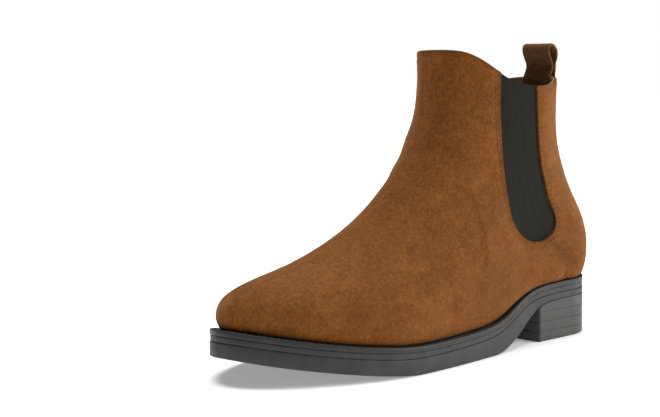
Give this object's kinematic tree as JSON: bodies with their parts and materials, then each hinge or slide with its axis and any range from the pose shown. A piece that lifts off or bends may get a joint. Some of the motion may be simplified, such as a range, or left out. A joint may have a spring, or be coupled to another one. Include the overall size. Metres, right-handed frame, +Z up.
{
  "type": "chelsea boot",
  "caption": "Ankle-high slip-on boot with a suede upper, elastic side gussets, a pull loop at the back, a thick layered sole and a low stacked heel.",
  "frame": {"origin": "middle of the bottom of the box round the whole boot, on the ground", "axes": "+Z up; toe towards -Y and heel towards +Y; outer (lateral) side of this left boot towards +X"},
  "size_m": [0.104, 0.3042, 0.186],
  "materials": {
    "suede": "matte napped",
    "elastic": "matte ribbed",
    "dark_suede": "matte napped",
    "lining_leather": "satin",
    "fibre_board": "matte",
    "foam": "matte",
    "cork": "matte",
    "steel": "brushed",
    "black_rubber": "satin"
  },
  "bodies": {
    "boot": {"vamp": "suede", "quarter_outer": "suede", "quarter_inner": "suede", "back_stay": "suede", "gusset_outer": "elastic", "gusset_inner": "elastic", "pull_loop_tab_outer": "dark_suede", "pull_loop_tab_inner": "dark_suede", "vamp_lining": "lining_leather", "quarter_lining": "lining_leather", "sock_liner": "lining_leather", "toe_puff": "fibre_board", "heel_counter": "fibre_board", "insole_board": "fibre_board", "heel_pad": "foam", "cork_filler": "cork", "shank": "steel", "welt": "black_rubber", "midsole": "black_rubber", "outsole": "black_rubber", "heel_lift_1": "black_rubber", "heel_lift_2": "black_rubber", "heel_lift_3": "black_rubber", "heel_top_piece": "black_rubber", "heel_nail_1": "steel", "heel_nail_2": "steel", "heel_nail_3": "steel", "heel_nail_4": "steel", "heel_nail_5": "steel"},
    "loop": {"pull_loop": "dark_suede"}
  },
  "joints": [
    {"name": "pull_loop_fold", "type": "hinge", "parent": "boot", "child": "loop", "pos_m": [0.00085, 0.12415, 0.17], "axis": [1, 0, 0], "range_deg": [-75, 75], "stiffness_Nm_per_rad": 0.02}
  ]
}
